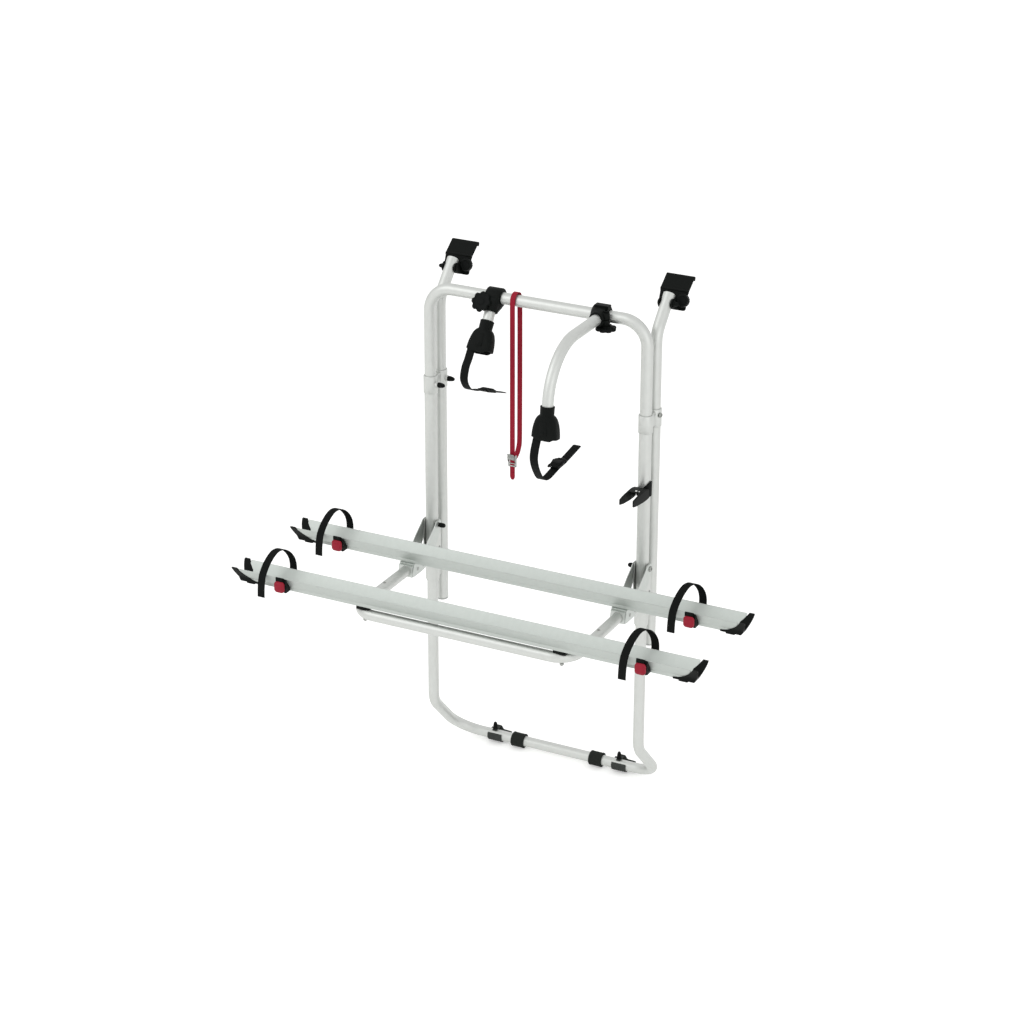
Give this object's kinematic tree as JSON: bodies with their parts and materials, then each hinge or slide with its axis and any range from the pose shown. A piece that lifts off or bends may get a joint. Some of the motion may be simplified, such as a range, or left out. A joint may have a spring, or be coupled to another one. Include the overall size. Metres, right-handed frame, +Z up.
{
  "type": "motorhome bike rack",
  "caption": "Wall-hung bike rack with telescopic tube posts, roof and wall hooks, a fold-up platform with wheel rails, strap buckles and swivelling frame arms.",
  "frame": {"origin": "midway between the two lower hooks, on the vehicle's wall plane, at the height of the lower bar", "axes": "+X to the right when facing the rack, +Y towards the vehicle, +Z up"},
  "size_m": [1.2796, 0.6405, 1.392],
  "materials": {
    "satin_aluminium": "satin anodised",
    "cast_aluminium": "fine cast",
    "rail_aluminium": "satin anodised",
    "zinc_steel": "zinc plated",
    "black_plastic": "fine grain",
    "dark_grey_plastic": "fine grain",
    "grey_rubber": "matt",
    "red_plastic": "satin",
    "red_webbing": "woven",
    "strap_plastic": "toothed band"
  },
  "bodies": {
    "posts": {"left_front_tube": "satin_aluminium", "right_front_tube": "satin_aluminium", "left_rear_tube": "satin_aluminium", "right_rear_tube": "satin_aluminium", "rear_tube_plugs": "dark_grey_plastic", "left_collar": "cast_aluminium", "right_collar": "cast_aluminium", "right_collar_bolts": "zinc_steel", "left_post_bracket": "cast_aluminium", "right_post_bracket": "cast_aluminium", "pivot_bolts": "zinc_steel", "fold_clip": "black_plastic"},
    "front_collar_knob": {"left_front_knob": "black_plastic"},
    "rear_collar_knob": {"left_rear_knob": "black_plastic"},
    "top_frame": {"upper_frame": "satin_aluminium", "safety_strap": "red_webbing", "safety_buckle": "zinc_steel"},
    "left_bush": {"left_arm_bush": "black_plastic"},
    "right_bush": {"right_arm_bush": "black_plastic"},
    "left_arm": {"left_arm_clamp": "black_plastic", "left_arm_tube": "satin_aluminium", "left_arm_head": "black_plastic", "left_arm_strap": "strap_plastic"},
    "right_arm": {"right_arm_clamp": "black_plastic", "right_arm_tube": "satin_aluminium", "right_arm_head": "black_plastic", "right_arm_strap": "strap_plastic"},
    "left_star": {"left_star_knob": "black_plastic"},
    "right_star": {"right_star_knob": "black_plastic"},
    "left_roof_arm": {"left_roof_tube": "satin_aluminium"},
    "right_roof_arm": {"right_roof_tube": "satin_aluminium"},
    "left_roof_hook": {"left_roof_bracket": "black_plastic"},
    "right_roof_hook": {"right_roof_bracket": "black_plastic"},
    "left_roof_clamp": {"left_roof_knob": "black_plastic"},
    "right_roof_clamp": {"right_roof_knob": "black_plastic"},
    "left_tilt": {"left_tilt_knob": "black_plastic"},
    "right_tilt": {"right_tilt_knob": "black_plastic"},
    "lower_frame": {"lower_frame": "satin_aluminium", "bar_sleeves": "grey_rubber"},
    "left_wall_hook": {"left_lower_hook": "dark_grey_plastic"},
    "right_wall_hook": {"right_lower_hook": "dark_grey_plastic"},
    "left_wall_knob": {"left_lower_knob": "dark_grey_plastic"},
    "right_wall_knob": {"right_lower_knob": "dark_grey_plastic"},
    "platform": {"left_swing_bracket": "cast_aluminium", "right_swing_bracket": "cast_aluminium", "platform_tube": "satin_aluminium", "swing_bolts": "zinc_steel", "front_rail": "rail_aluminium", "rear_rail": "rail_aluminium", "rail_saddles": "black_plastic", "rail_bolts": "zinc_steel", "rail_end_caps": "black_plastic", "rail_straps": "strap_plastic", "rail_buckles": "black_plastic"},
    "left_hinge_knob": {"left_pivot_knob": "black_plastic"},
    "right_hinge_knob": {"right_pivot_knob": "black_plastic"},
    "front_left_button": {"front_left_button": "red_plastic"},
    "front_right_button": {"front_right_button": "red_plastic"},
    "rear_left_button": {"rear_left_button": "red_plastic"},
    "rear_right_button": {"rear_right_button": "red_plastic"}
  },
  "joints": [
    {"name": "top_frame_height", "type": "slide", "parent": "posts", "child": "top_frame", "axis": [0, 0, 1], "range_m": [0, 0.1]},
    {"name": "left_roof_height", "type": "slide", "parent": "posts", "child": "left_roof_arm", "axis": [0, 0, 1], "range_m": [0, 0.1]},
    {"name": "right_roof_height", "type": "slide", "parent": "posts", "child": "right_roof_arm", "axis": [0, 0, 1], "range_m": [0, 0.1]},
    {"name": "lower_frame_height", "type": "slide", "parent": "posts", "child": "lower_frame", "axis": [0, 0, 1], "range_m": [-0.04, 0.04]},
    {"name": "platform_fold", "type": "hinge", "parent": "posts", "child": "platform", "pos_m": [0, -0.16, 0.656], "axis": [-1, 0, 0], "range_deg": [0, 90], "deforming": ["left_arm_strap", "right_arm_strap"]},
    {"name": "left_roof_tilt", "type": "hinge", "parent": "left_roof_arm", "child": "left_roof_hook", "pos_m": [-0.3, -0.04999, 1.32312], "axis": [1, 0, 0], "range_deg": [-15, 15]},
    {"name": "right_roof_tilt", "type": "hinge", "parent": "right_roof_arm", "child": "right_roof_hook", "pos_m": [0.3, -0.04999, 1.32312], "axis": [1, 0, 0], "range_deg": [-15, 15]},
    {"name": "left_roof_knob_turn", "type": "hinge", "parent": "left_roof_hook", "child": "left_roof_clamp", "pos_m": [-0.2684, -0.01253, 1.32138], "axis": [0, -0.9336, 0.3584], "continuous": true},
    {"name": "right_roof_knob_turn", "type": "hinge", "parent": "right_roof_hook", "child": "right_roof_clamp", "pos_m": [0.3316, -0.01253, 1.32138], "axis": [0, -0.9336, 0.3584], "continuous": true},
    {"name": "left_tilt_knob_turn", "type": "hinge", "parent": "left_roof_arm", "child": "left_tilt", "pos_m": [-0.3, -0.04999, 1.32312], "axis": [-1, 0, 0], "continuous": true},
    {"name": "right_tilt_knob_turn", "type": "hinge", "parent": "right_roof_arm", "child": "right_tilt", "pos_m": [0.3, -0.04999, 1.32312], "axis": [1, 0, 0], "continuous": true},
    {"name": "front_collar_knob_turn", "type": "hinge", "parent": "posts", "child": "front_collar_knob", "pos_m": [-0.28, -0.16, 1.0445], "axis": [1, 0, 0], "continuous": true},
    {"name": "rear_collar_knob_turn", "type": "hinge", "parent": "posts", "child": "rear_collar_knob", "pos_m": [-0.28, -0.1073, 1.0445], "axis": [1, 0, 0], "continuous": true},
    {"name": "left_hinge_knob_turn", "type": "hinge", "parent": "posts", "child": "left_hinge_knob", "pos_m": [-0.27, -0.16, 0.656], "axis": [1, 0, 0], "continuous": true},
    {"name": "right_hinge_knob_turn", "type": "hinge", "parent": "posts", "child": "right_hinge_knob", "pos_m": [0.27, -0.16, 0.656], "axis": [-1, 0, 0], "continuous": true},
    {"name": "left_arm_place", "type": "slide", "parent": "top_frame", "child": "left_bush", "axis": [1, 0, 0], "range_m": [-0.07, 0.01]},
    {"name": "right_arm_place", "type": "slide", "parent": "top_frame", "child": "right_bush", "axis": [1, 0, 0], "range_m": [-0.15, 0.03]},
    {"name": "left_arm_swing", "type": "hinge", "parent": "left_bush", "child": "left_arm", "pos_m": [-0.118, -0.16, 1.3064], "axis": [-1, 0, 0], "range_deg": [-30, 60]},
    {"name": "right_arm_swing", "type": "hinge", "parent": "right_bush", "child": "right_arm", "pos_m": [0.18, -0.16, 1.3064], "axis": [-1, 0, 0], "range_deg": [-10, 60]},
    {"name": "left_star_turn", "type": "hinge", "parent": "left_arm", "child": "left_star", "pos_m": [-0.137, -0.17286, 1.28733], "axis": [0, -0.829, 0.5592], "continuous": true},
    {"name": "right_star_turn", "type": "hinge", "parent": "right_arm", "child": "right_star", "pos_m": [0.199, -0.183, 1.3064], "axis": [0, 0, -1], "continuous": true},
    {"name": "left_hook_place", "type": "slide", "parent": "lower_frame", "child": "left_wall_hook", "axis": [1, 0, 0], "range_m": [-0.015, 0.02]},
    {"name": "right_hook_place", "type": "slide", "parent": "lower_frame", "child": "right_wall_hook", "axis": [1, 0, 0], "range_m": [-0.02, 0.015]},
    {"name": "left_wall_knob_turn", "type": "hinge", "parent": "left_wall_hook", "child": "left_wall_knob", "pos_m": [-0.185, -0.024, 0.02], "axis": [0, 0, 1], "continuous": true},
    {"name": "right_wall_knob_turn", "type": "hinge", "parent": "right_wall_hook", "child": "right_wall_knob", "pos_m": [0.185, -0.024, 0.02], "axis": [0, 0, 1], "continuous": true},
    {"name": "front_left_press", "type": "slide", "parent": "platform", "child": "front_left_button", "axis": [0, 1, 0], "range_m": [0, 0.002], "stiffness_N_per_m": 400},
    {"name": "front_right_press", "type": "slide", "parent": "platform", "child": "front_right_button", "axis": [0, 1, 0], "range_m": [0, 0.002], "stiffness_N_per_m": 400},
    {"name": "rear_left_press", "type": "slide", "parent": "platform", "child": "rear_left_button", "axis": [0, 1, 0], "range_m": [0, 0.002], "stiffness_N_per_m": 400},
    {"name": "rear_right_press", "type": "slide", "parent": "platform", "child": "rear_right_button", "axis": [0, 1, 0], "range_m": [0, 0.002], "stiffness_N_per_m": 400}
  ]
}
